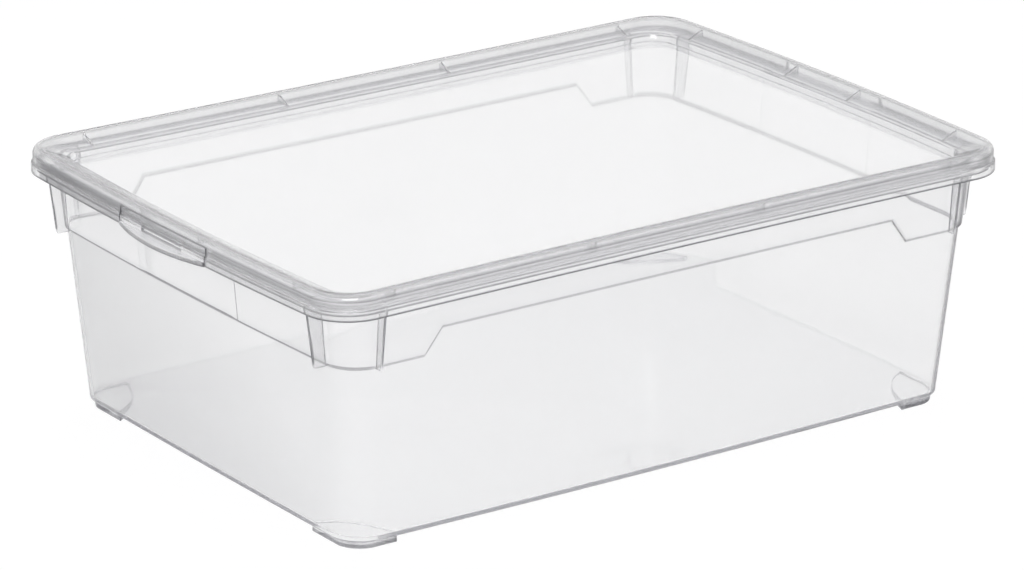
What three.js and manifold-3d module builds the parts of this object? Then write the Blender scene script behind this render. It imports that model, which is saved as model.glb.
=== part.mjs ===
// A clear polypropylene storage box of about ten litres: a tapered tub and a lid that clips shut.
// Millimetres, +Z up. The origin is on the floor, under the middle of the box. Length runs along X.
import * as THREE from "three";
import { mergeVertices } from "three/addons/utils/BufferGeometryUtils.js";
import Module from "manifold-3d";

const wasm = await Module();
wasm.setup();

// Whole box
const rimLength = 380;
const rimWidth = 275;
const closedHeight = 128.5;
const rimCornerRadius = 22.5;
const rimShortSwell = 2.8;
const rimLongSwell = -1.5;

// Tub
const baseLength = 340;
const baseWidth = 236;
const baseShortSwell = 0.6;
const baseLongSwell = 2.1;
const wallCornerRadius = 16;
const tubWall = 1.8;
const floorThickness = 2;
const baseEdgeRadius = 2.6;
const floorFilletRadius = 2;
const lipHeight = 3.5;
const rimEdgeChamfer = 0.5;

// Reinforcing band round the top of the tub's wall
const bandHeight = 33.5;
const bandStep = 1.4;
const notchHeight = 12;
const notchLength = 252;
const notchSlant = 9;
const recessWidth = 84;
const recessDepth = 0.7;

// Gussets on both sides of each corner of the tub
const gussetThickness = 1.4;
const gussetFromCorner = 1.5;
const gussetEndDepth = 7.5;
const gussetSideDepth = 5.5;
const gussetFootRadius = 3;

// Feet under the corners of the tub
const footHeight = 3.8;
const footLength = 24;
const footWidth = 32;
const footInset = 1;
const footCornerRadius = 13;
const noseFullness = 0.75;

// Lid
const lidWall = 1.6;
const lidHeight = 12.2;
const skirtBandHeight = 4.4;
const skirtStep = 0.8;
const shoulderRadius = 3.4;
const railWidth = 16;
const railSlope = THREE.MathUtils.degToRad(24);
const railInnerRake = 0.6;
const panelBelowCrest = 8.3;
const lipClearance = 0.4;
const plugEndClearance = 0.6;
const plugSideClearance = 3.1;

// Support ribs inside the lid's rail, which rest on the tub's rim
const ribThickness = 1.2;
const longSideRibs = [47, 155];
const shortSideRibs = [24.5, 100];
const seatGap = 0.3;

// Pull tabs, cut free of the lid's skirt in the middle of its short sides
const tabWidth = 72;
const slitWidth = 0.9;
const hingeGap = 0.3;
const gripReach = 6;
const gripEndReach = 0.7;
const gripThickness = 2;
const slotWidth = 34;
const slotHeight = 2;
const slotAboveSkirt = 2.4;

// Fineness of the curves, and the overrun of a cutting body past what it cuts
const cornerSteps = 6;
const sideSteps = 6;
const arcSteps = 4;
const quarterTurn = Array.from({ length: arcSteps + 1 }, (_, step) => step / arcSteps * Math.PI / 2);
const overrun = 2;

// Insets from the outer face of the lid's skirt. The tub's mouth is open round the plug inside the rail.
const skirtInnerInset = skirtStep + lidWall;
const lipInset = skirtInnerInset + lipClearance;
const plugInset = railWidth - lidWall;
const mouthInset = plugInset - Math.min(plugEndClearance, plugSideClearance);
const mouthLength = rimLength - 2 * (plugInset - plugEndClearance - tubWall);
const mouthWidth = rimWidth - 2 * (plugInset - plugSideClearance - tubWall);

// Heights. The tub's rim stands just under the slope of the rail.
const baseUnderside = footHeight;
const floorTop = baseUnderside + floorThickness;
const shoulderBottom = closedHeight - shoulderRadius;
const rimTop = railHeight(railSkin(lidWall), mouthInset) - seatGap;
const lipBottom = rimTop - lipHeight;
const flangeUnderside = rimTop - tubWall;
const ledge = rimTop - bandHeight;
const skirtBottom = closedHeight - lidHeight;
const skirtBandTop = skirtBottom + skirtBandHeight;
const panelTop = closedHeight - panelBelowCrest;

const polypropylene = {
  color: 0xe4e5e9,
  roughness: 0.22,
  metalness: 0,
  transparent: true,
  opacity: 0.4,
};

// The four sides, in the order in which an outline meets them: +Y, -X, -Y and +X
const sides = [0, 1, 2, 3].map((quarter) => {
  const facing = (quarter + 1) * Math.PI / 2;
  return {
    quarter,
    long: quarter % 2 === 0,
    normal: new THREE.Vector2(Math.cos(facing), Math.sin(facing)).round(),
    along: new THREE.Vector2(-Math.sin(facing), Math.cos(facing)).round(),
  };
});

function swellAt(fraction, swell) {
  return swell * (1 - fraction * fraction);
}

// A rounded rectangle whose sides swell out, or draw in, towards their middles.
function outline({ halfLength, halfWidth, radius, longSwell, shortSwell }) {
  const points = [];
  for (const { quarter, long, normal, along } of sides) {
    const reach = long ? halfWidth : halfLength;
    const span = (long ? halfLength : halfWidth) - radius;
    const centre = normal.clone().multiplyScalar(reach - radius).addScaledVector(along, -span);
    for (let step = 0; step <= cornerSteps; step++) {
      const angle = (quarter + step / cornerSteps) * Math.PI / 2;
      const spoke = new THREE.Vector2(Math.cos(angle), Math.sin(angle));
      points.push(centre.clone().addScaledVector(spoke, radius));
    }
    for (let step = 1; step < sideSteps; step++) {
      const fraction = 2 * step / sideSteps - 1;
      const out = reach + swellAt(fraction, long ? longSwell : shortSwell);
      points.push(normal.clone().multiplyScalar(out).addScaledVector(along, fraction * span));
    }
  }
  return points;
}

// A ring of the rim, set in from the outer face of the lid's skirt.
function rimRing(inset, z, radius = rimCornerRadius - inset) {
  return {
    z,
    radius,
    halfLength: rimLength / 2 - inset,
    halfWidth: rimWidth / 2 - inset,
    longSwell: rimLongSwell,
    shortSwell: rimShortSwell,
  };
}

// A ring of the tub's tapered wall, set out from its outer face.
function wallRing(z, outset) {
  const rise = (z - baseUnderside) / (rimTop - baseUnderside);
  return {
    z,
    radius: wallCornerRadius + outset,
    halfLength: THREE.MathUtils.lerp(baseLength, mouthLength, rise) / 2 + outset,
    halfWidth: THREE.MathUtils.lerp(baseWidth, mouthWidth, rise) / 2 + outset,
    longSwell: THREE.MathUtils.lerp(baseLongSwell, rimLongSwell, rise),
    shortSwell: THREE.MathUtils.lerp(baseShortSwell, rimShortSwell, rise),
  };
}

// Skins a stack of rings. A closed stack joins its last ring to its first, an open one has end caps.
function loft(rings, closed = false) {
  const outlines = rings.map(outline);
  const count = outlines[0].length;
  const positions = outlines.flatMap((points, level) =>
    points.flatMap((point) => [point.x, point.y, rings[level].z]));
  const triangles = [];
  const joins = closed ? rings.length : rings.length - 1;
  for (let level = 0; level < joins; level++) {
    const lower = level * count;
    const upper = ((level + 1) % rings.length) * count;
    for (let index = 0; index < count; index++) {
      const next = (index + 1) % count;
      triangles.push(lower + index, lower + next, upper + next);
      triangles.push(lower + index, upper + next, upper + index);
    }
  }
  if (!closed) {
    const last = (rings.length - 1) * count;
    for (const [a, b, c] of THREE.ShapeUtils.triangulateShape(outlines[0], [])) {
      triangles.push(a, c, b);
    }
    for (const [a, b, c] of THREE.ShapeUtils.triangulateShape(outlines.at(-1), [])) {
      triangles.push(last + a, last + b, last + c);
    }
  }
  const geometry = new THREE.BufferGeometry();
  geometry.setAttribute("position", new THREE.Float32BufferAttribute(positions, 3));
  geometry.setIndex(triangles);
  return toSolid(geometry);
}

function toSolid(geometry) {
  geometry.deleteAttribute("normal");
  geometry.deleteAttribute("uv");
  const merged = mergeVertices(geometry);
  return new wasm.Manifold(new wasm.Mesh({
    numProp: 3,
    vertProperties: new Float32Array(merged.attributes.position.array),
    triVerts: new Uint32Array(merged.index.array),
  }));
}

function toMesh(name, solid) {
  const { vertProperties, triVerts } = solid.getMesh();
  const geometry = new THREE.BufferGeometry();
  geometry.setAttribute("position", new THREE.BufferAttribute(vertProperties, 3));
  geometry.setIndex(new THREE.BufferAttribute(triVerts, 1));
  geometry.computeVertexNormals();
  const mesh = new THREE.Mesh(geometry, new THREE.MeshStandardMaterial(polypropylene));
  mesh.name = name;
  return mesh;
}

function box(min, max) {
  const size = new THREE.Vector3().subVectors(max, min);
  const middle = new THREE.Vector3().addVectors(min, max).divideScalar(2);
  const geometry = new THREE.BoxGeometry(size.x, size.y, size.z);
  return toSolid(geometry.translate(middle.x, middle.y, middle.z));
}

function extrude(shape, depth, placement = new THREE.Matrix4()) {
  const settings = { depth, bevelEnabled: false, curveSegments: arcSteps };
  return toSolid(new THREE.ExtrudeGeometry(shape, settings).applyMatrix4(placement));
}

function polygon(points) {
  return new THREE.Shape(points.map(([x, y]) => new THREE.Vector2(x, y)));
}

// Stands a plate across the rim, with its drawing's x as the inset and its y as the height.
function acrossRim(side, distance, thickness) {
  const reach = (side.long ? rimWidth : rimLength) / 2;
  const span = (side.long ? rimLength : rimWidth) / 2 - rimCornerRadius;
  const out = reach + swellAt(distance / span, side.long ? rimLongSwell : rimShortSwell);
  const inward = new THREE.Vector3(-side.normal.x, -side.normal.y, 0);
  const up = new THREE.Vector3(0, 0, 1);
  const along = new THREE.Vector3().crossVectors(inward, up);
  const turn = along.x * side.along.x + along.y * side.along.y;
  const foot = inward.clone().multiplyScalar(-out);
  foot.addScaledVector(along, turn * distance - thickness / 2);
  return new THREE.Matrix4().makeBasis(inward, up, along).setPosition(foot);
}

function mirrored(distances) {
  return distances.flatMap((distance) => [-distance, distance]);
}

function join(solids) {
  return solids.reduce((whole, solid) => whole.add(solid));
}

// The band's lower edge is raised along the long sides, and its short sides have a shallow recess.
function wallBand() {
  const inner = -tubWall / 2;
  const top = rimTop - tubWall / 2;
  const band = loft([
    wallRing(ledge, inner),
    wallRing(ledge, bandStep),
    wallRing(top, bandStep),
    wallRing(top, inner),
  ], true);

  const halfNotch = notchLength / 2;
  const flare = notchSlant * (1 + overrun / notchHeight);
  const notch = extrude(polygon([
    [-halfNotch - flare, ledge - overrun],
    [halfNotch + flare, ledge - overrun],
    [halfNotch, ledge + notchHeight],
    [-halfNotch, ledge + notchHeight],
  ]), 2 * rimWidth, new THREE.Matrix4().makeRotationX(Math.PI / 2).setPosition(0, rimWidth, 0));

  const skimmed = loft([
    wallRing(ledge - overrun, bandStep - recessDepth),
    wallRing(ledge - overrun, bandStep + overrun),
    wallRing(flangeUnderside, bandStep + overrun),
    wallRing(flangeUnderside, bandStep - recessDepth),
  ], true);
  const recess = skimmed.intersect(box(
    new THREE.Vector3(-rimLength, -recessWidth / 2, 0),
    new THREE.Vector3(rimLength, recessWidth / 2, closedHeight),
  ));
  return band.subtract(notch).subtract(recess);
}

// A gusset runs from under the rim down to the ledge, with a rounded foot.
function gusset(side, distance) {
  const overall = side.long ? rimWidth : rimLength;
  const wallInset = (z, outset) => {
    const { halfLength, halfWidth } = wallRing(z, outset);
    return overall / 2 - (side.long ? halfWidth : halfLength);
  };
  const inWall = -tubWall / 2;
  const footInset = wallInset(ledge, side.long ? gussetSideDepth : gussetEndDepth);
  const top = rimTop - tubWall / 2;
  const shape = new THREE.Shape();
  shape.moveTo(wallInset(top, inWall), top);
  shape.lineTo(lipInset + tubWall / 2, top);
  shape.lineTo(lipInset + tubWall / 2, lipBottom + tubWall / 2);
  shape.lineTo(lipInset, lipBottom);
  shape.lineTo(footInset, ledge + gussetFootRadius);
  shape.quadraticCurveTo(footInset, ledge, footInset + gussetFootRadius, ledge);
  shape.lineTo(wallInset(ledge, inWall), ledge);
  shape.closePath();
  return extrude(shape, gussetThickness, acrossRim(side, distance, gussetThickness));
}

function gussets() {
  return sides.flatMap((side) => {
    const mouth = side.long ? mouthLength : mouthWidth;
    const distance = mouth / 2 - wallCornerRadius - gussetFromCorner;
    return mirrored([distance]).map((place) => gusset(side, place));
  });
}

// A foot is a corner pad with straight outer edges and a round nose towards the middle of the base.
function foot(signX, signY) {
  const cornerX = baseLength / 2 - baseEdgeRadius - footInset;
  const cornerY = baseWidth / 2 - baseEdgeRadius - footInset;
  const roundX = cornerX - footCornerRadius;
  const roundY = cornerY - footCornerRadius;
  const noseX = cornerX - footLength * noseFullness;
  const noseY = cornerY - footWidth * noseFullness;
  const shape = new THREE.Shape();
  shape.moveTo(cornerX - footLength, cornerY);
  shape.quadraticCurveTo(noseX, noseY, cornerX, cornerY - footWidth);
  shape.absarc(roundX, roundY, footCornerRadius, 0, Math.PI / 2);
  const points = shape.getPoints(arcSteps).map(({ x, y }) => [signX * x, signY * y]);
  return extrude(polygon(points), footHeight + floorThickness / 2);
}

function tub() {
  const baseEdge = quarterTurn.map((angle) => wallRing(
    baseUnderside + baseEdgeRadius * (1 - Math.cos(angle)),
    -baseEdgeRadius * (1 - Math.sin(angle)),
  ));
  const floorEdge = quarterTurn.toReversed().map((angle) => wallRing(
    floorTop + floorFilletRadius * (1 - Math.cos(angle)),
    -tubWall - floorFilletRadius * (1 - Math.sin(angle)),
  ));
  const shell = loft([
    ...baseEdge,
    wallRing(flangeUnderside, 0),
    rimRing(lipInset + tubWall, flangeUnderside),
    rimRing(lipInset + tubWall, lipBottom),
    rimRing(lipInset, lipBottom),
    rimRing(lipInset, rimTop - rimEdgeChamfer),
    rimRing(lipInset + rimEdgeChamfer, rimTop),
    wallRing(rimTop, -tubWall),
    ...floorEdge,
  ]);
  const feet = [[1, 1], [-1, 1], [-1, -1], [1, -1]].map(([x, y]) => foot(x, y));
  return join([shell, wallBand(), ...gussets(), ...feet]);
}

// The rail's section at a depth under its skin, from the outer face over the shoulder and down the slope.
function railSkin(depth) {
  const centreInset = skirtStep + shoulderRadius;
  const radius = shoulderRadius - depth;
  const points = [...quarterTurn, Math.PI / 2 + railSlope].map((angle) => [
    centreInset - radius * Math.cos(angle),
    shoulderBottom + radius * Math.sin(angle),
  ]);
  return { points, crown: points.at(-1), inner: railWidth - depth };
}

function railHeight({ crown, inner }, inset = inner) {
  return crown[1] - Math.tan(railSlope) * (inset - crown[0]);
}

// The whole lid in one piece, before its tabs are cut free: a flat panel inside a hollow raised rail.
function lidShell() {
  const outside = railSkin(0);
  const inside = railSkin(lidWall);
  const mouthRadius = wallCornerRadius - tubWall;
  const rings = (skin) => skin.points.map(([inset, z]) => rimRing(inset, z));
  return loft([
    rimRing(inside.inner + railInnerRake, panelTop - lidWall, mouthRadius),
    rimRing(inside.inner, railHeight(inside), mouthRadius),
    ...rings(inside).toReversed(),
    rimRing(skirtInnerInset, skirtBandTop + skirtStep),
    rimRing(lidWall, skirtBandTop),
    rimRing(lidWall, skirtBottom),
    rimRing(0, skirtBottom),
    rimRing(0, skirtBandTop),
    rimRing(skirtStep, skirtBandTop + skirtStep),
    ...rings(outside),
    rimRing(outside.inner, railHeight(outside), mouthRadius - lidWall),
    rimRing(outside.inner + railInnerRake, panelTop, mouthRadius - lidWall),
  ]);
}

function ribs() {
  const middle = railSkin(lidWall / 2);
  const bottom = rimTop + seatGap;
  const shape = polygon([
    [middle.crown[0], bottom],
    [mouthInset, bottom],
    [mouthInset, railHeight(middle, mouthInset)],
    middle.crown,
  ]);
  return sides.flatMap((side) => mirrored(side.long ? longSideRibs : shortSideRibs)
    .map((distance) => extrude(shape, ribThickness, acrossRim(side, distance, ribThickness))));
}

// The part of the lid's skirt that a tab takes up, widened by a slit on each side for the cut.
function tabSpace(sign, halfWidth, top) {
  const outer = sign * (rimLength / 2 + rimShortSwell + overrun);
  const inner = sign * (rimLength / 2 - skirtInnerInset - seatGap);
  return box(
    new THREE.Vector3(Math.min(outer, inner), -halfWidth, skirtBottom - overrun),
    new THREE.Vector3(Math.max(outer, inner), halfWidth, top),
  );
}

// A tab keeps the skirt's section, and adds a crescent to pull on with a slot above it.
function tab(shell, sign) {
  const half = tabWidth / 2;
  const skirtFace = rimLength / 2 + rimShortSwell;
  const plate = shell.intersect(tabSpace(sign, half, shoulderBottom - hingeGap));

  const crescent = new THREE.Shape();
  crescent.moveTo(-half, -lidWall / 2);
  crescent.lineTo(half, -lidWall / 2);
  crescent.lineTo(half, gripEndReach);
  crescent.quadraticCurveTo(0, 2 * gripReach - gripEndReach, -half, gripEndReach);
  crescent.closePath();
  const turn = new THREE.Matrix4().makeRotationZ(-sign * Math.PI / 2);
  const grip = extrude(crescent, gripThickness, turn.setPosition(sign * skirtFace, 0, skirtBottom));

  const slotBottom = skirtBottom + slotAboveSkirt;
  const slot = box(
    new THREE.Vector3(-rimLength, -slotWidth / 2, slotBottom),
    new THREE.Vector3(rimLength, slotWidth / 2, slotBottom + slotHeight),
  );
  return plate.add(grip).subtract(slot);
}

function lid(shell) {
  const cutHalf = tabWidth / 2 + slitWidth;
  const cuts = [-1, 1].map((sign) => tabSpace(sign, cutHalf, shoulderBottom));
  return join([shell, ...ribs()]).subtract(join(cuts));
}

const shell = lidShell();
const lidGroup = new THREE.Group();
lidGroup.add(toMesh("lid", lid(shell)));
lidGroup.add(toMesh("grip_tab_left", tab(shell, -1)));
lidGroup.add(toMesh("grip_tab_right", tab(shell, 1)));

const storageBox = new THREE.Group();
storageBox.add(toMesh("tub", tub()));
storageBox.add(lidGroup);

export default storageBox;
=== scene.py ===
import math

import bmesh
import bpy
from mathutils import Matrix, Vector


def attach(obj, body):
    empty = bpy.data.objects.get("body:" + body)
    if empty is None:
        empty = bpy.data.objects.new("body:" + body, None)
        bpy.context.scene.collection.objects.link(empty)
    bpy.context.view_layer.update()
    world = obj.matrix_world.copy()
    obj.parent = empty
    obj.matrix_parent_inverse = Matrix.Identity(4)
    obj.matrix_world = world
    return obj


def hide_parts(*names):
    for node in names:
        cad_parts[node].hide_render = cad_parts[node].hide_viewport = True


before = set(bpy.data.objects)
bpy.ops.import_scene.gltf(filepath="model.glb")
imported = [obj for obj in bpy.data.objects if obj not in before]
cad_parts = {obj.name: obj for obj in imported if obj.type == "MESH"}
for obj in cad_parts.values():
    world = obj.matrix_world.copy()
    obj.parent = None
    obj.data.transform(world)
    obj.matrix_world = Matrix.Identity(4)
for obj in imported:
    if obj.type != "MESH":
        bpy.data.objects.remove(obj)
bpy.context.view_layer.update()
scene = bpy.context.scene
mm = 0.001
hairline = 0.02  # mm between two columns that make a sharp step
midRound = 0.3  # how far in from a small corner's edges its middle point stands, as a share of its radius
sharpAngle = math.radians(24)  # faces that meet at more than this keep a hard edge
weld = 1e-7  # metres

# The rim is what the lid and the tub share. All sizes are in millimetres.
rim = {
    "length": 380, "width": 275, "crest": 128.5, "cornerRadius": 22.5,
    "longSwell": -1.5, "shortSwell": 2.8, "seatGap": 0.3,
}

# Values named ...Fold or ...Bend in the lid, tub and tab tables weigh painted shade in the base colour;
# foldFade is a length.
lid = {
    "wall": 1.6, "height": 12.2, "bandHeight": 4.4, "bandStep": 0.8, "shoulder": 3.4,
    "railWidth": 16, "railSlope": math.radians(24), "innerRake": 0.6, "panelDepth": 8.3,
    "edgeRound": 0.4, "railRound": 0.9, "panelFillet": 1.2,
    "ribThickness": 1.2, "longRibs": (47, 155), "shortRibs": (24.5, 100),
    "cutHalf": 36.9, "arcSteps": 8, "cornerColumns": 22, "pitch": 9,
    "longLimit": 163, "shortLimit": 112, "underReach": 2, "panelReach": 3, "crownPoints": 5,
    "foldFade": 0.4, "railFold": 0.1, "bandFold": 0.1,
    "shoulderFold": 0.85, "shoulderThinning": 3, "shoulderFade": 0.35,
    "ribFold": 0.5, "crestFold": 0.22, "crownFold": 0.06, "railSatin": 0.3, "skirtSatin": 0.3,
    "crownBend": 0.4, "skirtBend": 0.74, "cornerBend": 0.48, "cornerFold": 0.12,
}

# In the tub, the recessNear, recessFar, leftSlant, rightSlant and lipBehindTab values, the inner floor's value
# and each Ledge pair's second number weigh painted shade too.
tub = {
    "baseLength": 340, "baseWidth": 236, "baseLongSwell": 2.1, "baseShortSwell": 0.6,
    "wall": 1.8, "floor": 2, "cornerRadius": 16, "endClearance": 0.6, "sideClearance": 3.1,
    "baseRound": 1.4, "floorFillet": 1, "lipHeight": 4.5, "lipClearance": 0.4,
    "edgeRound": 0.45, "fillet": 0.35, "rimRound": 0.6, "bandRound": 1.0,
    "bandHeight": 33.5, "bandStep": 1.4, "notchHeight": 12, "notchHalf": 126, "notchSlant": 9,
    "recessHalf": 42, "recessDepth": 0.7, "recessRun": 6,
    "gussetHalf": 0.7, "gussetRound": 0.3, "gussetFromCorner": 1.5,
    "gussetEndDepth": 7.5, "gussetSideDepth": 5.5, "gussetFoot": 1.2,
    "footHeight": 3.8, "footLength": 24, "footWidth": 32, "footInset": 1, "footCorner": 13,
    "footNose": 0.75, "footRound": 0.5, "footSteps": 12, "footTop": 0.1, "footTopLine": 0.5,
    "arcSteps": 8, "cornerColumns": 22, "pitch": 9, "longLimit": 163, "shortLimit": 112.6,
    "longKeep": 138, "shortKeep": 90, "closePitch": 1.3, "closeColumns": 6, "bandPoints": 16,
    "foldFade": 0.3, "longLedge": (1.2, 0.65), "shortLedge": (1.3, 1), "cornerLedge": (1.5, 0.8),
    "baseFold": 0.12, "floorFold": 0.12, "floorPaintedShade": 0.1, "rimFold": 0.15,
    "rootFold": 0.7, "rootBeside": 0.8, "recessNear": 1, "recessFar": 0.35, "recessFade": 0.65,
    "footFold": 0.85, "footLine": 1.4, "archFold": 0.35, "plateFold": 0.15,
    "leftSlant": 0.7, "rightSlant": 0.25,
    "lipFold": 0.05, "lipLine": 0.5, "lipBehindTab": 0.3,
    "wallSatin": 0.06, "wallBend": 0.63, "wallEase": 0.7, "cornerBend": 0.68, "cornerEase": 3,
}

tab = {
    "half": 36, "hingeGap": 0.3, "gripReach": 6, "gripEndReach": 0.7, "gripThickness": 2,
    "slotHalf": 17, "slotHeight": 2, "slotAboveSkirt": 2.4, "edgeRound": 0.3, "gripRound": 0.18, "pitch": 3,
    "arcSteps": 4, "foldFade": 0.5, "slotFold": 0.8, "slotFade": 0.35, "gripFold": 0.1, "gripFade": 0.3,
}

# Insets are measured from the outer face of the lid's skirt.
lid["skirtBottom"] = rim["crest"] - lid["height"]
lid["bandTop"] = lid["skirtBottom"] + lid["bandHeight"]
lid["shoulderBottom"] = rim["crest"] - lid["shoulder"]
lid["panelTop"] = rim["crest"] - lid["panelDepth"]
lid["skirtInner"] = lid["bandStep"] + lid["wall"]
lid["plugInset"] = lid["railWidth"] - lid["wall"]
lid["centreInset"] = lid["bandStep"] + lid["shoulder"]


def crownAt(depth):  # where the shoulder's arc runs into the slope of the rail, at a depth under the skin
    turn = math.pi / 2 + lid["railSlope"]
    radius = lid["shoulder"] - depth
    return (lid["centreInset"] - radius * math.cos(turn), lid["shoulderBottom"] + radius * math.sin(turn))


def slopeHeight(depth, inset):
    crown = crownAt(depth)
    return crown[1] - math.tan(lid["railSlope"]) * (inset - crown[0])


tub["mouthInset"] = lid["plugInset"] - tub["endClearance"]
tub["mouthLength"] = rim["length"] - 2 * (tub["mouthInset"] - tub["wall"])
tub["mouthWidth"] = rim["width"] - 2 * (lid["plugInset"] - tub["sideClearance"] - tub["wall"])
tub["rimTop"] = slopeHeight(lid["wall"], tub["mouthInset"]) - rim["seatGap"]
tub["ledge"] = tub["rimTop"] - tub["bandHeight"]
tub["lipInset"] = lid["skirtInner"] + tub["lipClearance"]


# Rings and columns: a ring is a level line round the box, a column an upright line across all rings.
def mix(a, b, share):
    return a + (b - a) * share


def rimRing(inset, radius=None):
    return {
        "halfLength": rim["length"] / 2 - inset,
        "halfWidth": rim["width"] / 2 - inset,
        "radius": rim["cornerRadius"] - inset if radius is None else radius,
        "longSwell": rim["longSwell"],
        "shortSwell": rim["shortSwell"],
    }


def wallRing(outset, z):
    rise = (z - tub["footHeight"]) / (tub["rimTop"] - tub["footHeight"])
    return {
        "halfLength": mix(tub["baseLength"], tub["mouthLength"], rise) / 2 + outset,
        "halfWidth": mix(tub["baseWidth"], tub["mouthWidth"], rise) / 2 + outset,
        "radius": tub["cornerRadius"] + outset,
        "longSwell": mix(tub["baseLongSwell"], rim["longSwell"], rise),
        "shortSwell": mix(tub["baseShortSwell"], rim["shortSwell"], rise),
    }


def isLong(quarter):
    return quarter % 2 == 0


def sideSizes(ring, quarter):  # how far the side stands from the middle, its straight half and its swell
    if isLong(quarter):
        return ring["halfWidth"], ring["halfLength"] - ring["radius"], ring["longSwell"]
    return ring["halfLength"], ring["halfWidth"] - ring["radius"], ring["shortSwell"]


def cornerStart(ring, quarter, limits):  # the angle of the corner's arc that the side's columns take up
    span = sideSizes(ring, quarter)[1]
    over = limits[quarter % 2] - span
    return math.asin(min(max(over / ring["radius"], 0), 1))


def onRing(ring, column, limits):
    quarter, kind, place = column
    if kind == "corner":
        before = (quarter + 3) % 4
        start = cornerStart(ring, before, limits)
        end = math.pi / 2 - cornerStart(ring, quarter, limits)
        angle = quarter * math.pi / 2 + mix(start, end, place)
        reachX, reachY = ring["halfLength"] - ring["radius"], ring["halfWidth"] - ring["radius"]
        signX, signY = ((1, 1), (-1, 1), (-1, -1), (1, -1))[quarter]
        return (signX * reachX + ring["radius"] * math.cos(angle),
                signY * reachY + ring["radius"] * math.sin(angle))
    reach, span, swell = sideSizes(ring, quarter)
    over = abs(place) - span
    if over <= 0:
        out = reach + swell * (1 - (place / span) ** 2)
    else:
        out = reach - ring["radius"] + math.sqrt(max(ring["radius"] ** 2 - over ** 2, 0))
    return ((-place, out), (-out, -place), (place, -out), (out, place))[quarter]


def sidePlaces(limit, pitch, breaks, extra=()):  # evenly spaced columns, with a close pair at each break
    count = math.ceil(2 * limit / pitch)
    places = {mix(-limit, limit, step / count) for step in range(count + 1)}
    pairs = [p for b, w in breaks for p in (b - w / 2, b + w / 2)]
    more = [p for p in extra if all(abs(p - other) > 5 * hairline for other in pairs)]
    clear = [p for p in places if all(abs(p - other) > pitch / 4 for other in pairs + more)]
    return sorted(clear + more + pairs)


def allColumns(piece, longBreaks, shortBreaks, longExtra=(), shortExtra=()):
    columns = []
    for quarter in range(4):
        count = piece["cornerColumns"]
        columns += [(quarter, "corner", (step + 0.5) / count) for step in range(count)]
        limit = piece["longLimit"] if isLong(quarter) else piece["shortLimit"]
        breaks, extra = (longBreaks, longExtra) if isLong(quarter) else (shortBreaks, shortExtra)
        columns += [(quarter, "side", place) for place in sidePlaces(limit, piece["pitch"], breaks, extra)]
    return columns


def bothWays(distances, half, width=hairline):  # breaks at both edges of a plate, on both sides of the middle
    return [(sign * d + edge, width) for d in distances for sign in (-1, 1) for edge in (-half, half)]


def rounded(corners, steps):  # (inset, z, radius, painted shade) corners of a section as (inset, z, painted shade) points
    points = []
    for index, (x, z, radius, paintedShade) in enumerate(corners):
        here = Vector((x, z))
        if radius == 0 or index in (0, len(corners) - 1):
            points.append((x, z, paintedShade))
            continue
        before = (Vector(corners[index - 1][:2]) - here).normalized()
        after = (Vector(corners[index + 1][:2]) - here).normalized()
        half = before.angle(after) / 2
        centre = here + (before + after).normalized() * (radius / math.sin(half))
        start = here + before * (radius / math.tan(half)) - centre
        end = here + after * (radius / math.tan(half)) - centre
        sweep = start.angle_signed(end)
        for step in range(steps + 1):
            turn = Matrix.Rotation(-sweep * step / steps, 2)
            points.append((*(centre + turn @ start), paintedShade))
    return points


def faded(points, reach):  # ends an edge's painted shade a short way along each longer face beside it
    out = []
    for here, after in zip(points, points[1:] + [None]):
        out.append(here)
        if after is None or here[2] == after[2]:
            continue
        length = math.dist(here[:2], after[:2])
        if length < 2 * reach:
            continue
        for share, weight in ((reach / length, here[2]), (1 - reach / length, after[2])):
            if weight:
                out.append((mix(here[0], after[0], share), mix(here[1], after[1], share), 0))
    return out


# Marks on a piece's points, from 0 to 1: the first paints shade along edges and over the inner floor, the
# second paints shade that grows as a face turns away from the eye, satin is for dull faces and ease for how
# little of that turned shade a plain wall takes.
marks = ("paintedShade", "paintedTurnShade", "satin", "ease")


def newShape():
    bm = bmesh.new()
    for name in marks:
        bm.verts.layers.float.new(name)
    return bm


def newPoint(bm, place, *weights):
    point = bm.verts.new(Vector(place) * mm)
    for name, weight in zip(marks, weights):
        point[bm.verts.layers.float[name]] = weight
    return point


def skin(grid, caps):  # joins columns of (place, *marks) into a closed surface, with a cap across each end
    bm = newShape()
    rows = [[newPoint(bm, *p) for p in column] for column in grid]
    for index, column in enumerate(rows):
        after = rows[(index + 1) % len(rows)]
        for level in range(len(column) - 1):
            bm.faces.new((column[level], after[level], after[level + 1], column[level + 1]))
    for cap in caps:
        cap(bm, rows)
    bm.normal_update()
    return bm


def flatCap(level):
    def close(bm, rows):
        ring = [column[level] for column in rows]
        bm.faces.new(ring if level else ring[::-1])
    return close


def finishPiece(bm, name, body, material):
    bmesh.ops.remove_doubles(bm, verts=bm.verts, dist=weld)
    bmesh.ops.recalc_face_normals(bm, faces=bm.faces)
    mesh = bpy.data.meshes.new(name)
    bm.to_mesh(mesh)
    bm.free()
    mesh.shade_smooth()
    mesh.set_sharp_from_angle(angle=sharpAngle)
    mesh.materials.append(material)
    piece = bpy.data.objects.new(name, mesh)
    scene.collection.objects.link(piece)
    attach(piece, body)
    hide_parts(body)
    print(f"{name}: {len(mesh.vertices)} points, {len(mesh.polygons)} faces")


# Tub
def ledgeHeight(quarter, place):
    if not isLong(quarter):
        return tub["ledge"]
    down = (abs(place) - tub["notchHalf"]) / tub["notchSlant"]
    return tub["ledge"] + tub["notchHeight"] * (1 - min(max(down, 0), 1))


def ledgeStretch(quarter, place):  # how much taller than wide the ledge's line is where it slants
    slanted = isLong(quarter) and 0 <= abs(place) - tub["notchHalf"] <= tub["notchSlant"]
    return math.hypot(tub["notchHeight"], tub["notchSlant"]) / tub["notchSlant"] if slanted else 1


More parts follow.
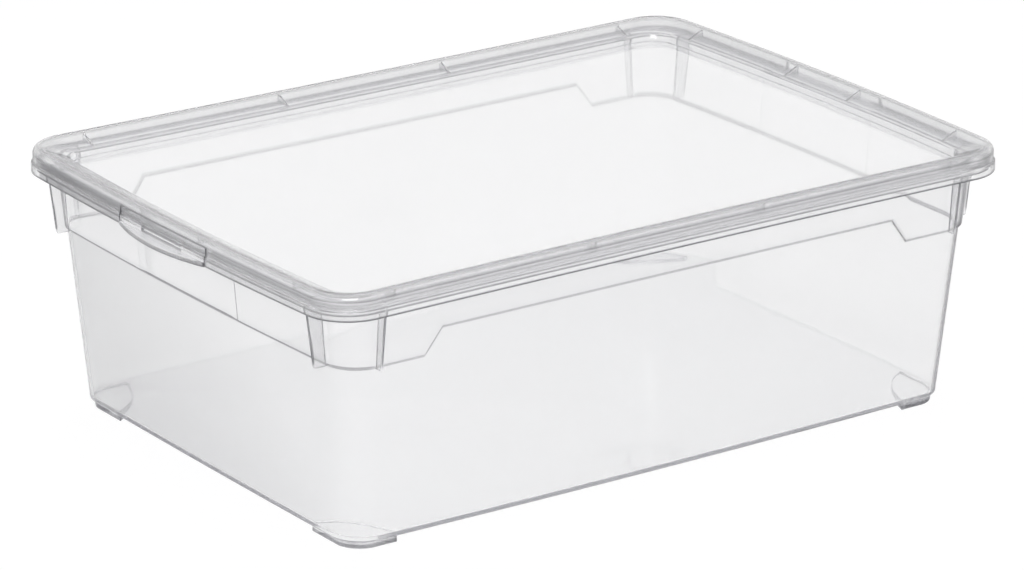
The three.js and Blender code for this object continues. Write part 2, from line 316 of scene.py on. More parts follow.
def gussetAway(quarter, place):  # how far a column is from the middle of the nearest gusset
    mouth = tub["mouthLength"] if isLong(quarter) else tub["mouthWidth"]
    return abs(abs(place) - (mouth / 2 - tub["cornerRadius"] - tub["gussetFromCorner"]))


def behindTab(column):
    quarter, kind, place = column
    return kind == "side" and not isLong(quarter) and abs(place) < tab["half"]


# A column of the tub as (kind, offset, z, painted shade), from the base up over the rim and down to the floor.
# On a gusset's plate, cut is what its rounded edge takes off. Beside a plate, root is the painted shade on the
# wall there.
def tubSection(column, cut=None, root=0):
    quarter, kind, place = column
    side = kind == "side"
    ledge = ledgeHeight(quarter, place) if side else tub["ledge"]
    short = side and not isLong(quarter)
    recessed = short and abs(place) < tub["recessHalf"] - tub["recessRun"] / 2
    # The painted shade lines at the recess edges and along the ledge differ in strength: the recessNear edge
    # and the leftSlant slants are drawn darker.
    recessEdge = short and abs(abs(place) - tub["recessHalf"]) < hairline
    recessLine = tub["recessNear"] if quarter == 1 and place > 0 else tub["recessFar"]
    face = max(root, recessLine if recessEdge else 0)
    step = tub["bandStep"] - (tub["recessDepth"] if recessed else 0)
    base, floor = tub["footHeight"], tub["footHeight"] + tub["floor"]
    edge, fillet, fade, soft = tub["edgeRound"], tub["fillet"], tub["foldFade"], midRound
    band = min(tub["bandRound"], step - fillet)
    stretch = ledgeStretch(quarter, place if side else 0)
    tall, dark = tub["cornerLedge"] if not side else tub["shortLedge"] if short else tub["longLedge"]
    slant = tub["leftSlant"] if (quarter == 2) == (place < 0) else tub["rightSlant"]
    lineTop, line = ledge + tall * stretch, dark if stretch == 1 else slant
    line = line if cut is None else tub["plateFold"]
    underFlange = tub["rimTop"] - tub["wall"]
    lipBottom = tub["rimTop"] - tub["lipHeight"]
    lipOuter, lipInner = tub["lipInset"], tub["lipInset"] + tub["wall"]
    lipFold, lipEdge = (0, tub["lipBehindTab"]) if behindTab(column) else (tub["lipFold"], 1)
    turns = [math.pi / 2 * index / tub["arcSteps"] for index in range(tub["arcSteps"] + 1)]

    lower = [("wall", -tub["baseRound"] * (1 - math.sin(a)), base + tub["baseRound"] * (1 - math.cos(a)),
              tub["baseFold"] * math.cos(a) if a else 0) for a in turns]
    lower += [
        ("wall", 0, ledge - fillet - fade, 0),
        ("wall", 0, ledge - fillet, line),
        ("wall", soft * fillet, ledge - soft * fillet, line),
        ("wall", fillet, ledge, line),
    ]
    if cut is None:
        outer = [
            *[("wall", step - band * (1 - math.sin(a)), ledge + band * (1 - math.cos(a)), line)
              for a in turns[::2]],
            ("wall", step, lineTop, line),
            ("wall", step, lineTop + fade, face),
            ("wall", step, underFlange - fillet, face),
            ("wall", step + soft * fillet, underFlange - soft * fillet, face),
            ("wall", step + fillet, underFlange, 0),
            ("rim", lipInner + fillet, underFlange, 0),
            ("rim", lipInner + soft * fillet, underFlange - soft * fillet, 0),
            ("rim", lipInner, underFlange - fillet, 0),
            ("rim", lipInner, lipBottom + edge, lipFold),
            ("rim", lipInner - soft * edge, lipBottom + soft * edge, lipEdge),
            ("rim", lipInner - edge, lipBottom, lipEdge),
        ]
    else:
        depth = (tub["gussetSideDepth"] if isLong(quarter) else tub["gussetEndDepth"]) - cut
        ring = wallRing(0, ledge)
        overall = rim["width"] if isLong(quarter) else rim["length"]
        inset = overall / 2 - sideSizes(ring, quarter)[0] - depth
        foot = tub["gussetFoot"]
        outer = [("rim", inset + foot * (1 - math.sin(a)), ledge + foot * (1 - math.cos(a)), 0)
                 for a in turns[::2]]
        run = tub["bandPoints"] - len(outer)
        top = lipOuter + edge + cut
        outer += [("rim", mix(inset, top, s / (run + 1)), mix(ledge + foot, lipBottom, s / (run + 1)), 1)
                  for s in range(1, run + 1)]
    upper = [
        ("rim", lipOuter + edge, lipBottom, lipEdge),
        ("rim", lipOuter + soft * edge, lipBottom + soft * edge, lipEdge),
        ("rim", lipOuter, lipBottom + edge + tub["lipLine"], lipEdge),
        ("rim", lipOuter, lipBottom + edge + tub["lipLine"] + fade, lipFold),
        ("rim", lipOuter, tub["rimTop"] - edge, lipFold),
        ("rim", lipOuter + soft * edge, tub["rimTop"] - soft * edge, tub["rimFold"]),
        ("rim", lipOuter + edge, tub["rimTop"], tub["rimFold"]),
        ("rim", lipOuter + edge + fade, tub["rimTop"], 0),
        ("wall", tub["rimRound"] - tub["wall"], tub["rimTop"], 0),
        ("wall", soft * tub["rimRound"] - tub["wall"], tub["rimTop"] - soft * tub["rimRound"],
         tub["rimFold"]),
        ("wall", -tub["wall"], tub["rimTop"] - tub["rimRound"], 0),
    ]
    # Painted shade: the inner floor is greyed evenly, and the fillet round it most at its middle.
    inner = [("wall", -tub["wall"] - tub["floorFillet"] * (1 - math.sin(a)),
              floor + tub["floorFillet"] * (1 - math.cos(a)),
              tub["floorFold"] * math.sin(2 * a) + tub["floorPaintedShade"] * (1 - math.sin(a))) for a in turns[::-1]]
    return lower + outer + upper + [("wall", -tub["wall"], tub["ledge"], 0)] + inner


def drawnIn(quarter, place, z):  # under the band, the columns beside a corner lean in with it
    size = "long" if isLong(quarter) else "short"
    keep, limit = tub[size + "Keep"], tub[size + "Limit"]
    over = abs(place) - keep
    if over <= 0 or z >= tub["ledge"]:
        return place
    lost = sideSizes(wallRing(0, tub["ledge"]), quarter)[1] - sideSizes(wallRing(0, z), quarter)[1]
    return math.copysign(keep + over * (1 - lost / (limit - keep)), place)


def tubColumn(column):
    quarter, kind, place = column
    satinAbove = tub["rimTop"] - tub["lipHeight"] + tub["edgeRound"]
    ledge, flat = tub["ledge"], abs(2 * place - 1) ** tub["cornerEase"]
    if kind == "side":
        ledge, flat = ledgeHeight(quarter, place), 1

    def placed(section):
        points = []
        for ringKind, offset, z, paintedShade in section:
            ring = wallRing(offset, z) if ringKind == "wall" else rimRing(offset)
            outside = ringKind == "rim" or offset >= 0
            lip = ringKind == "rim" and z > satinAbove and not behindTab(column)
            # Turned shade, painted: the corners, the lip and the wall under the ledge darken as they turn from
            # the eye, the plain wall only partly.
            upper = tub["cornerBend"] if kind == "corner" else lid["skirtBend"] if lip else 0
            lower = mix(tub["cornerBend"], tub["wallBend"], flat)
            paintedTurnShade = 0 if not outside else lower if z < ledge else upper
            satin, ease = 1 if lip else tub["wallSatin"], tub["wallEase"] * flat * (z < ledge)
            limits = (drawnIn(0, tub["longLimit"], z), drawnIn(1, tub["shortLimit"], z))
            here = column if kind == "corner" else (quarter, kind, drawnIn(quarter, place, z))
            points.append(((*onRing(ring, here, limits), z), paintedShade, paintedTurnShade, satin, ease))
        return points

    if kind == "corner":
        return placed(tubSection(column))
    away = gussetAway(quarter, place)
    share = min(max(1 - (away - tub["gussetHalf"]) / hairline, 0), 1)
    atRoot = share == 0 and away < tub["gussetHalf"] + 2 * hairline
    plain = placed(tubSection(column, root=tub["rootFold"] if atRoot else 0))
    if share == 0:
        return plain
    cut = min(max(away - (tub["gussetHalf"] - tub["gussetRound"]), 0), tub["gussetRound"])
    plate = placed(tubSection(column, cut))
    if share == 1:
        return plate
    return [(tuple(mix(a, b, share) for a, b in zip(p[0], q[0])),
             p[1] if p[0] == q[0] else tub["plateFold"], *p[2:]) for p, q in zip(plain, plate)]


def footOutline(signX, signY):
    cornerX = tub["baseLength"] / 2 - tub["baseRound"] - tub["footInset"]
    cornerY = tub["baseWidth"] / 2 - tub["baseRound"] - tub["footInset"]
    nose = (cornerX - tub["footLength"] * tub["footNose"], cornerY - tub["footWidth"] * tub["footNose"])
    start = (cornerX - tub["footLength"], cornerY)
    end = (cornerX, cornerY - tub["footWidth"])
    points = []
    for step in range(tub["footSteps"] + 1):
        t = step / tub["footSteps"]
        points.append(tuple((1 - t) ** 2 * a + 2 * t * (1 - t) * b + t * t * c
                            for a, b, c in zip(start, nose, end)))
    for step in range(1, tub["footSteps"]):
        angle = math.pi / 2 * step / tub["footSteps"]
        points.append((cornerX + tub["footCorner"] * (math.cos(angle) - 1),
                       cornerY + tub["footCorner"] * (math.sin(angle) - 1)))
    inward = [0 < step < tub["footSteps"] for step in range(len(points))]
    points = [(signX * x, signY * y, hidden) for (x, y), hidden in zip(points, inward)]
    return points if signX * signY > 0 else points[::-1]


def baseCap(bm, rows):  # the underside of the base, with a foot standing out of it at each corner
    ring = [column[0] for column in rows]
    edges = [bm.edges.get((a, b)) for a, b in zip(ring, ring[1:] + ring[:1])]
    r, fade, paintedShade = tub["footRound"], tub["foldFade"], tub["footFold"]
    line, high = tub["footLine"], tub["footHeight"]
    levels = [
        (0, high, 0), (0, high - tub["footTop"], paintedShade),
        (0, high - tub["footTopLine"], paintedShade), (0, high - tub["footTopLine"] - fade, 0),
        (0, r + line + fade, 0), (0, r + line, paintedShade), (0, r, paintedShade),
        (midRound * r, midRound * r, paintedShade), (r, 0, paintedShade), (r + fade, 0, 0),
    ]
    for signX, signY in ((1, 1), (-1, 1), (-1, -1), (1, -1)):
        corners = footOutline(signX, signY)
        outline = [Vector(p[:2]) for p in corners]
        loops = []
        for inset, z, weight in levels:
            loop = []
            for index, here in enumerate(outline):
                before, after = outline[index - 1], outline[(index + 1) % len(outline)]
                way = (after - before).normalized()
                inward = Vector((-way.y, way.x))
                # Painted shade round each foot: full on its outer edges, part on the upper inner arc, none on
                # the far foot.
                share = 1 if not corners[index][2] else tub["archFold"] if z > high / 2 else 0
                farFoot = signX > 0 and signY > 0  # its lines don't show through the front band
                share = 0 if farFoot else share
                loop.append(newPoint(bm, (*(here + inward * inset), z), share * weight))
            loops.append(loop)
        for upper, lower in zip(loops, loops[1:]):
            for i in range(len(upper)):
                j = (i + 1) % len(upper)
                bm.faces.new((upper[i], upper[j], lower[j], lower[i]))
        bm.faces.new(loops[-1])
        top = loops[0]
        edges += [bm.edges.get((a, b)) for a, b in zip(top, top[1:] + top[:1])]
    bmesh.ops.triangle_fill(bm, use_beauty=True, use_dissolve=False, edges=edges)


def makeTub(material):
    half, inner = tub["gussetHalf"] + hairline / 2, tub["gussetHalf"] - tub["gussetRound"]
    breaks = []
    for mouth in (tub["mouthLength"], tub["mouthWidth"]):
        at = mouth / 2 - tub["cornerRadius"] - tub["gussetFromCorner"]
        places = bothWays((at,), half) + bothWays((at,), half, tub["rootBeside"] * hairline)
        places += bothWays((at,), half + tub["foldFade"])
        places += [(sign * at, 2 * inner) for sign in (-1, 1)]
        breaks.append(places)
    slants = (tub["notchHalf"], tub["notchHalf"] + tub["notchSlant"])
    breaks[0] += [(sign * d, hairline) for d in slants for sign in (-1, 1)]
    breaks[1] += [(sign * (tub["recessHalf"] - tub["recessRun"] / 2), tub["recessRun"]) for sign in (-1, 1)]
    breaks[1] += bothWays((tub["recessHalf"],), tub["recessFade"])
    close = [tub["closePitch"] * step for step in range(1, tub["closeColumns"] + 1)]
    extra = [[sign * (limit - back) for back in close for sign in (-1, 1)]
             for limit in (tub["longLimit"], tub["shortLimit"])]
    grid = [tubColumn(column) for column in allColumns(tub, *breaks, *extra)]
    finishPiece(skin(grid, (baseCap, flatCap(-1))), "tubShell", "tub", material)


# Lid
def lidCornerRadius(inset, depth):  # the rail's inner edge has its own, larger corner
    crown = crownAt(depth)[0]
    inner = lid["railWidth"] - depth
    mouth = tub["cornerRadius"] - tub["wall"] - (lid["wall"] - depth)
    if inset <= crown:
        return rim["cornerRadius"] - inset
    return mix(rim["cornerRadius"] - crown, mouth, min((inset - crown) / (inner - crown), 1))


def lidSection():  # (inset, z, depth, zone, painted shade) from under the panel, round the skirt and over the rail
    wall, edge, fade = lid["wall"], lid["edgeRound"], lid["foldFade"]
    steps = lid["arcSteps"] // 2
    inner = lid["plugInset"]
    under = lid["panelTop"] - wall
    ribStart = crownAt(wall / 2)[0]
    plug = rounded([
        (inner + lid["innerRake"] + lid["underReach"], under, 0, 0),
        (inner + lid["innerRake"], under, lid["railRound"], lid["railFold"]),
        (inner, slopeHeight(wall, inner), edge, 0),
        (tub["mouthInset"], slopeHeight(wall, tub["mouthInset"]), 0, 0),
    ], steps)
    section = [(*p[:2], wall, "plug" if p[0] < inner else "panel", p[2]) for p in faded(plug, fade)]
    for inset in (tub["mouthInset"] - hairline, mix(tub["mouthInset"], ribStart, 0.5), ribStart + hairline):
        section.append((inset, slopeHeight(wall, inset), wall, "rib", 0))
    section.append((ribStart, slopeHeight(wall, ribStart), wall, "plug", 0))
    turns = [mix(math.pi / 2 + lid["railSlope"], 0, s / lid["arcSteps"]) for s in range(lid["arcSteps"] + 1)]

    def arc(depth, zone):
        r = lid["shoulder"] - depth
        return [(lid["centreInset"] - r * math.cos(a), lid["shoulderBottom"] + r * math.sin(a),
                 depth, zone, 0) for a in turns]

    section += arc(wall, "crown")
    skirt = rounded([
        (lid["skirtInner"], lid["shoulderBottom"], 0, 0),
        (lid["skirtInner"], lid["bandTop"] + lid["bandStep"], edge, 0),
        (wall, lid["bandTop"], edge, 0),
        (wall, lid["skirtBottom"], edge, 1),
        (0, lid["skirtBottom"], edge, 1),
        (0, lid["bandTop"], edge, lid["bandFold"]),
        (lid["bandStep"], lid["bandTop"] + lid["bandStep"], edge, lid["bandFold"]),
        (lid["bandStep"], lid["shoulderBottom"], 0, 0),
    ], steps)
    section += [(*p[:2], wall if p[0] > lid["bandStep"] + hairline else 0, "skirt", p[2])
                for p in faded(skirt[1:-1], fade)]
    below = lid["shoulderBottom"] - lid["shoulderFade"]
    section += [(lid["bandStep"], below, 0, "skirt", 0)]
    crown = arc(0, "crown")[::-1]
    # Painted shade along the shoulder, thinning onto the crown, and along the crest.
    shoulder, split = lid["shoulderFold"], lid["crownPoints"]
    section += [(*crown[0][:4], shoulder), (*crown[1][:4], shoulder / lid["shoulderThinning"])]
    section += [(*p[:4], lid["crownFold"]) for p in crown[2:split]]
    section += [(*p[:4], lid["crestFold"]) for p in crown[split:]]
    rail = rounded([
        (*crownAt(0), 0, lid["crestFold"]),
        (lid["railWidth"], slopeHeight(0, lid["railWidth"]), lid["railRound"], lid["railFold"]),
        (lid["railWidth"] + lid["innerRake"], lid["panelTop"], lid["panelFillet"], lid["railFold"]),
        (lid["railWidth"] + lid["innerRake"] + lid["panelReach"], lid["panelTop"], 0, 0),
    ], steps)
    return section + [(*p[:2], 0, "rail" if p[0] < lid["railWidth"] else "panel", p[2])
                      for p in faded(rail, fade)[1:]]


def makeLid(material):
    limits = (lid["longLimit"], lid["shortLimit"])
    half, fade = lid["ribThickness"] / 2, lid["foldFade"]
    section = lidSection()
    skirtCount = sum(entry[3] == "skirt" for entry in section)
    longBreaks = bothWays(lid["longRibs"], half) + bothWays(lid["longRibs"], half + fade)
    shortBreaks = bothWays(lid["shortRibs"], half) + bothWays(lid["shortRibs"], half + fade)
    shortBreaks += [(sign * (lid["cutHalf"] + away), hairline) for sign in (-1, 1) for away in (0, fade)]
    grid = []
    for column in allColumns(lid, longBreaks, shortBreaks):
        quarter, kind, place = column
        ribs = lid["longRibs"] if isLong(quarter) else lid["shortRibs"]
        ribbed = kind == "side" and any(abs(abs(place) - rib) < half for rib in ribs)
        short = kind == "side" and not isLong(quarter)
        cut = short and abs(place) < lid["cutHalf"]
        besideCut = short and 0 < abs(place) - lid["cutHalf"] < hairline
        points, passed = [], 0
        for inset, z, depth, zone, paintedShade in section:
            # Painted shade on the ribs, the skirt's corners, beside the tab's cut and along the cut's shoulder.
            if zone == "rib" and ribbed:
                z, paintedShade = tub["rimTop"] + rim["seatGap"], lid["ribFold"]
            if zone == "skirt":
                passed += 1
                paintedShade = max(paintedShade, float(besideCut), lid["cornerFold"] if kind == "corner" else 0)
                if cut:
                    inset = mix(lid["skirtInner"], lid["bandStep"], passed / (skirtCount + 1))
                    z, paintedShade = lid["shoulderBottom"], lid["shoulderFold"]
            ring = rimRing(inset, lidCornerRadius(inset, depth))
            dull = zone in ("rib", "plug") or depth == lid["wall"] and zone != "panel"
            satin = lid["skirtSatin"] if dull and zone == "skirt" else float(dull)
            satin = lid["railSatin"] if zone == "rail" else satin
            # Painted shade that grows as the crown, the corners and the skirt turn from the eye.
            paintedTurnShade = lid["crownBend"] if zone == "crown" else lid["cornerBend"] if kind == "corner" else 0
            paintedTurnShade = lid["skirtBend"] if zone == "skirt" and kind == "side" else paintedTurnShade
            points.append(((*onRing(ring, column, limits), z), paintedShade, paintedTurnShade, satin))
        grid.append(points)
    finishPiece(skin(grid, (flatCap(0), flatCap(-1))), "lidShell", "lid", material)


# Pull tabs
def tabSection(place):  # (inset, z, painted shade) round the tab, from the top of its inner face
    wall, edge = lid["wall"], tab["edgeRound"]
    share = place / tab["half"]
    reach = mix(tab["gripReach"], tab["gripEndReach"], share ** 2)
    top = lid["shoulderBottom"] - tab["hingeGap"]
    grip = lid["skirtBottom"] + tab["gripThickness"]
    slot = lid["skirtBottom"] + tab["slotAboveSkirt"]
    atEnd = float(abs(abs(place) - tab["half"]) < hairline)
    inSlot = float(abs(place) < tab["slotHalf"] + hairline)
    line = max(tab["slotFold"] * inSlot, atEnd)
    away = min(tab["foldFade"], tab["gripFade"] * reach)
    lip = grip - tab["gripRound"]
    step = lid["bandTop"] + lid["bandStep"]
    slotTop, lineEnd = slot + tab["slotHeight"], tab["slotFade"]
    corners = [
        (lid["skirtInner"], top, 0, atEnd),
        (lid["skirtInner"], step, 0, atEnd),
        (wall, slotTop, 0, atEnd),
        (wall, slot, 0, atEnd),
        (wall, lid["skirtBottom"] + 2 * tab["foldFade"], 0, atEnd),
        (wall, lid["skirtBottom"], edge, 1),
        (wall - tab["foldFade"], lid["skirtBottom"], 0, atEnd),
        (tab["foldFade"] - reach, lid["skirtBottom"], 0, atEnd),
        (-reach, lid["skirtBottom"], edge, 1),
        (-reach, mix(lid["skirtBottom"], lip, 0.5), 0, max(tab["gripFold"], atEnd)),
        (-reach, lip, tab["gripRound"], max(tab["gripFold"], atEnd)),
        (away - reach, mix(lip, grip, away / reach), 0, atEnd),
        (-away, mix(grip, lip, away / reach), 0, atEnd),
        (0, grip, 0, line),
        (0, slot, 0, line),
        (0, slotTop, 0, line),
        (lineEnd * lid["bandStep"], mix(slotTop, step, lineEnd), 0, atEnd),
        (lid["bandStep"], step, 0, atEnd),
        (lid["bandStep"], top, 0, atEnd),
    ]
    return rounded(corners, tab["arcSteps"])


def makeTab(sign, name, body, material):
    fade = lid["foldFade"]
    breaks = [(s * d, hairline) for d in (tab["slotHalf"], tab["slotHalf"] + fade, tab["half"] - fade)
              for s in (-1, 1)]
    places = sorted(set(sidePlaces(tab["half"], tab["pitch"], breaks)) | {-tab["half"], tab["half"]})
    quarter = 3 if sign > 0 else 1
    limits = (lid["longLimit"], lid["shortLimit"])
    slot = lid["skirtBottom"] + tab["slotAboveSkirt"]
    slotTop = slot + tab["slotHeight"]
    bm = newShape()
    rows = []
    for place in places:
        row = []
        for inset, z, paintedShade in tabSection(place):
            ring = rimRing(inset, rim["cornerRadius"])
            # Painted shade that grows as the tab's outer face above the slot turns from the eye.
            paintedTurnShade = lid["skirtBend"] if inset >= 0 and z > slotTop else 0
            row.append(newPoint(bm, (*onRing(ring, (quarter, "side", place), limits), z), paintedShade, paintedTurnShade))
        rows.append(row)
    count = len(rows[0])
    levels = [z for _, z, _ in tabSection(0)]
    holes = [i for i in range(count) if {round(levels[i], 4), round(levels[(i + 1) % count], 4)}
             == {round(slot, 4), round(slotTop, 4)}]
    (innerTop, innerLow), (outerLow, outerTop) = [(h, (h + 1) % count) for h in holes]
    for index in range(len(rows) - 1):
        inSlot = abs(mix(places[index], places[index + 1], 0.5)) < tab["slotHalf"]
        for level in range(count):
            after = (level + 1) % count
            if not (inSlot and level in holes):
                bm.faces.new((rows[index][level], rows[index + 1][level],
                              rows[index + 1][after], rows[index][after]))
        if inSlot:
            for a, b in ((innerTop, outerTop), (innerLow, outerLow)):
                bm.faces.new((rows[index][a], rows[index + 1][a], rows[index + 1][b], rows[index][b]))
    inside = [i for i, place in enumerate(places) if abs(place) <= tab["slotHalf"]]
    for index in (inside[0], inside[-1]):
        bm.faces.new([rows[index][i] for i in (innerTop, innerLow, outerLow, outerTop)])
    for row in (rows[0], rows[-1]):
        bm.faces.new(row)
    finishPiece(bm, name, body, material)


# Materials
mixA, mixB, mixed = 6, 7, 2  # a Mix node's sockets for colours


def linear(hexColour):  # an sRGB colour as the shader's linear one
    parts = [int(hexColour[i:i + 2], 16) / 255 for i in (1, 3, 5)]
    return tuple(c / 12.92 if c <= 0.04045 else ((c + 0.055) / 1.055) ** 2.4 for c in parts) + (1,)


def addNode(tree, kind, sockets=None, **settings):
    node = tree.nodes.new(kind)
    for name, value in settings.items():
        setattr(node, name, value)
    for name, value in (sockets or {}).items():
        if isinstance(value, bpy.types.NodeSocket):
            tree.links.new(value, node.inputs[name])
        else:
            node.inputs[name].default_value = value
    return node


def newMaterial(name):
    material = bpy.data.materials.new(name)
    material.use_nodes = True
    material.node_tree.nodes.clear()
    return material, material.node_tree


def clearPolypropylene():
    # Injection-moulded clear polypropylene gives a glossy skin with slow waves, a faint milkiness and duller
    # faces inside the rim. Its grey edges, and the grey where a face turns away from the eye, are painted shade
    # in the base colour.
    finish = {
        "colour": "#f8f8f8", "paintedShadeColour": "#707074", "ior": 1.49, "roughness": 0.035, "satin": 0.22,
        "clear": 0.9, "waveWidth": 26, "waveDepth": 0.02, "waveStrength": 0.1, "waveDetail": 2,
        "deepColour": "#cbcbd0", "deepMm": 120, "turnStart": 1.15, "turnEnd": 1.35, "shadow": "#f4f4f6",
    }
    material, tree = newMaterial("mouldedClearPolypropylene")
    place = addNode(tree, "ShaderNodeTexCoord")
    wave = addNode(tree, "ShaderNodeTexNoise", {
        "Vector": place.outputs["Object"], "Scale": 1 / (finish["waveWidth"] * mm),
        "Detail": finish["waveDetail"],
    })
    bump = addNode(tree, "ShaderNodeBump", {
        "Strength": finish["waveStrength"], "Distance": finish["waveDepth"] * mm,
        "Height": wave.outputs["Fac"],
    })
    # Painted shade: the base colour goes grey along the marked edges and over the inner floor, and where a face
    # turns away from the eye, by Layer Weight facing.
    paintedShade = addNode(tree, "ShaderNodeAttribute", attribute_name="paintedShade")
    paintedTurnShade = addNode(tree, "ShaderNodeAttribute", attribute_name="paintedTurnShade")
    facing = addNode(tree, "ShaderNodeLayerWeight", {"Blend": 0.5})
    away = addNode(tree, "ShaderNodeMath", {
        0: paintedTurnShade.outputs["Fac"], 1: facing.outputs["Facing"],
    }, operation="ADD")
    turned = addNode(tree, "ShaderNodeMapRange", {
        "Value": away.outputs[0], "From Min": finish["turnStart"], "From Max": finish["turnEnd"],
    })
    ease = addNode(tree, "ShaderNodeAttribute", attribute_name="ease")
    most = addNode(tree, "ShaderNodeMath", {0: 1.0, 1: ease.outputs["Fac"]}, operation="SUBTRACT")
    shade = addNode(tree, "ShaderNodeMath", {0: turned.outputs[0], 1: most.outputs[0]}, operation="MINIMUM")
    paintedShadeAmount = addNode(tree, "ShaderNodeMath", {0: paintedShade.outputs["Fac"], 1: shade.outputs[0]}, operation="MAXIMUM")
    paintedShadeMix = addNode(tree, "ShaderNodeMix", {
        "Factor": paintedShadeAmount.outputs[0], mixA: linear(finish["colour"]), mixB: linear(finish["paintedShadeColour"]),
    }, data_type="RGBA")
    satin = addNode(tree, "ShaderNodeAttribute", attribute_name="satin")
    dull = addNode(tree, "ShaderNodeMapRange", {
        "Value": satin.outputs["Fac"], "To Min": finish["roughness"], "To Max": finish["satin"],
    })
    plastic = addNode(tree, "ShaderNodeBsdfPrincipled", {
        "Base Color": paintedShadeMix.outputs[mixed], "Roughness": dull.outputs[0], "IOR": finish["ior"],
        "Transmission Weight": finish["clear"], "Normal": bump.outputs["Normal"],
    })
    depth = addNode(tree, "ShaderNodeVolumeAbsorption", {
        "Color": linear(finish["deepColour"]), "Density": 1 / (finish["deepMm"] * mm),
    })
    ray = addNode(tree, "ShaderNodeLightPath")
    clear = addNode(tree, "ShaderNodeBsdfTransparent", {"Color": linear(finish["shadow"])})
    surface = addNode(tree, "ShaderNodeMixShader", {
        0: ray.outputs["Is Shadow Ray"], 1: plastic.outputs["BSDF"], 2: clear.outputs["BSDF"],
    })
    addNode(tree, "ShaderNodeOutputMaterial", {
        "Surface": surface.outputs["Shader"], "Volume": depth.outputs["Volume"],
    })
    return material


# Stage, light and camera
def seenDirectly(tree):  # 1 for what the eye sees, straight or through the plastic
    ray = addNode(tree, "ShaderNodeLightPath")
    return addNode(tree, "ShaderNodeMath", {
        0: ray.outputs["Is Camera Ray"], 1: ray.outputs["Is Transmission Ray"],
    }, operation="MAXIMUM").outputs[0]


def makeFloor():
    # Matte white paint, which takes the box's soft shadow. Most of it shows as plain white to the eye.
    settings = {"size": 8.0, "drop": 0.0005, "colour": "#d8d8d8", "white": 0.9, "strength": 1.04}
    material, tree = newMaterial("matteWhiteFloor")
    matte = addNode(tree, "ShaderNodeBsdfDiffuse", {"Color": linear(settings["colour"])})
    white = addNode(tree, "ShaderNodeEmission", {"Color": (1, 1, 1, 1), "Strength": settings["strength"]})
    seen = seenDirectly(tree)
    share = addNode(tree, "ShaderNodeMath", {0: seen, 1: settings["white"]}, operation="MULTIPLY")
    surface = addNode(tree, "ShaderNodeMixShader", {
        0: share.outputs[0], 1: matte.outputs[0], 2: white.outputs[0],
    })
    addNode(tree, "ShaderNodeOutputMaterial", {"Surface": surface.outputs[0]})
    bm = bmesh.new()
    bmesh.ops.create_grid(bm, x_segments=1, y_segments=1, size=settings["size"] / 2)
    mesh = bpy.data.meshes.new("studioFloor")
    bm.to_mesh(mesh)
    bm.free()
    mesh.materials.append(material)
    floor = bpy.data.objects.new("studioFloor", mesh)
    scene.collection.objects.link(floor)
    floor.location.z = -settings["drop"]


def makeWorld():
    settings = {"low": "#fafafa", "high": "#b4b4b7", "start": 0.3, "end": 0.62, "light": 1.0}
    world = bpy.data.worlds.new("studio")
    world.use_nodes = True
    scene.world = world
    tree = world.node_tree
    tree.nodes.clear()
    place = addNode(tree, "ShaderNodeTexCoord")
    split = addNode(tree, "ShaderNodeSeparateXYZ", {0: place.outputs["Generated"]})
    ramp = addNode(tree, "ShaderNodeMapRange", {
        "Value": split.outputs["Z"], "From Min": settings["start"], "From Max": settings["end"],
    }, interpolation_type="SMOOTHSTEP")
    sky = addNode(tree, "ShaderNodeMix", {
        "Factor": ramp.outputs[0], mixA: linear(settings["low"]), mixB: linear(settings["high"]),
    }, data_type="RGBA")
    ray = addNode(tree, "ShaderNodeLightPath")
    seen = addNode(tree, "ShaderNodeBackground", {"Color": (1, 1, 1, 1), "Strength": 1.0})
    light = addNode(tree, "ShaderNodeBackground", {
        "Color": sky.outputs[mixed], "Strength": settings["light"],
    })
    both = addNode(tree, "ShaderNodeMixShader", {
        0: ray.outputs["Is Camera Ray"], 1: light.outputs[0], 2: seen.outputs[0],
    })
    addNode(tree, "ShaderNodeOutputWorld", {"Surface": both.outputs[0]})


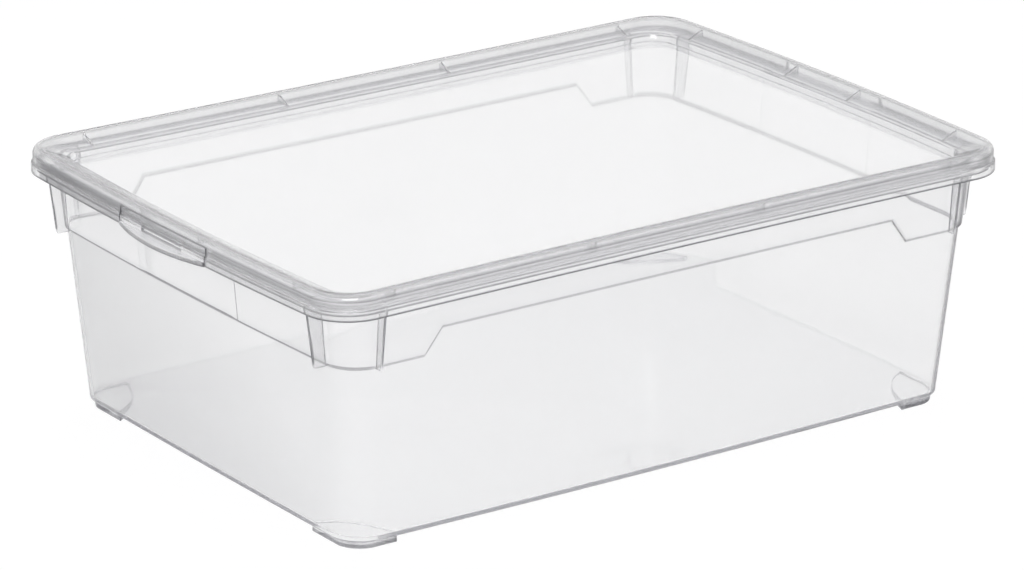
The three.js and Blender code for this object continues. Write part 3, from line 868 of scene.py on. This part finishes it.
# The lid would mirror the top lamp as a hard white patch, so only the key lamp is mirrored.
lamps = {
    "keyLamp": {"place": (-0.75, -1.15, 0.8), "size": (0.8, 0.6), "power": 10, "mirrored": True},
    "topLamp": {"place": (0.3, 0.4, 1.9), "size": (1.2, 1.2), "power": 15, "mirrored": False},
}
lampAim = Vector((0, 0, 0.06))


def makeLamp(name, settings):
    lamp = bpy.data.lights.new(name, "AREA")
    lamp.shape, lamp.energy = "RECTANGLE", settings["power"]
    lamp.size, lamp.size_y = settings["size"]
    holder = bpy.data.objects.new(name, lamp)
    holder.location = settings["place"]
    holder.rotation_mode = "QUATERNION"
    holder.rotation_quaternion = (lampAim - Vector(settings["place"])).to_track_quat("-Z", "Y")
    holder.visible_glossy = holder.visible_transmission = settings["mirrored"]
    scene.collection.objects.link(holder)


def makeCamera():
    view = {"azimuth": -34.87, "elevation": 19.24, "distance": 2.525, "centre": (0, 0, 0.07125),
            "focalPixels": 5358.4, "shiftX": -1.36, "shiftY": -25.72, "frameWidth": 1024, "sensorWidth": 36}
    a, e = math.radians(view["azimuth"]), math.radians(view["elevation"])
    back = Vector((math.sin(a) * math.cos(e), -math.cos(a) * math.cos(e), math.sin(e)))
    camera = bpy.data.cameras.new("photoCamera")
    camera.sensor_width = view["sensorWidth"]
    camera.lens = view["focalPixels"] * camera.sensor_width / view["frameWidth"]
    camera.shift_x = view["shiftX"] / view["frameWidth"]
    camera.shift_y = view["shiftY"] / view["frameWidth"]
    holder = bpy.data.objects.new("photoCamera", camera)
    holder.location = Vector(view["centre"]) + back * view["distance"]
    holder.rotation_mode = "QUATERNION"
    holder.rotation_quaternion = (-back).to_track_quat("-Z", "Y")
    scene.collection.objects.link(holder)
    scene.camera = holder


makeCamera()
makeWorld()
makeFloor()
for lampName, lampSettings in lamps.items():
    makeLamp(lampName, lampSettings)
print("camera, floor and lamps are in place")

plastic = clearPolypropylene()
makeTub(plastic)
makeLid(plastic)
makeTab(-1, "pullTabLeft", "grip_tab_left", plastic)
makeTab(1, "pullTabRight", "grip_tab_right", plastic)

scene.view_settings.view_transform = "Standard"
# Light crosses many clear faces one behind another.
scene.cycles.max_bounces = scene.cycles.transmission_bounces = scene.cycles.transparent_max_bounces = 40
scene.cycles.glossy_bounces = 16

bpy.context.view_layer.update()
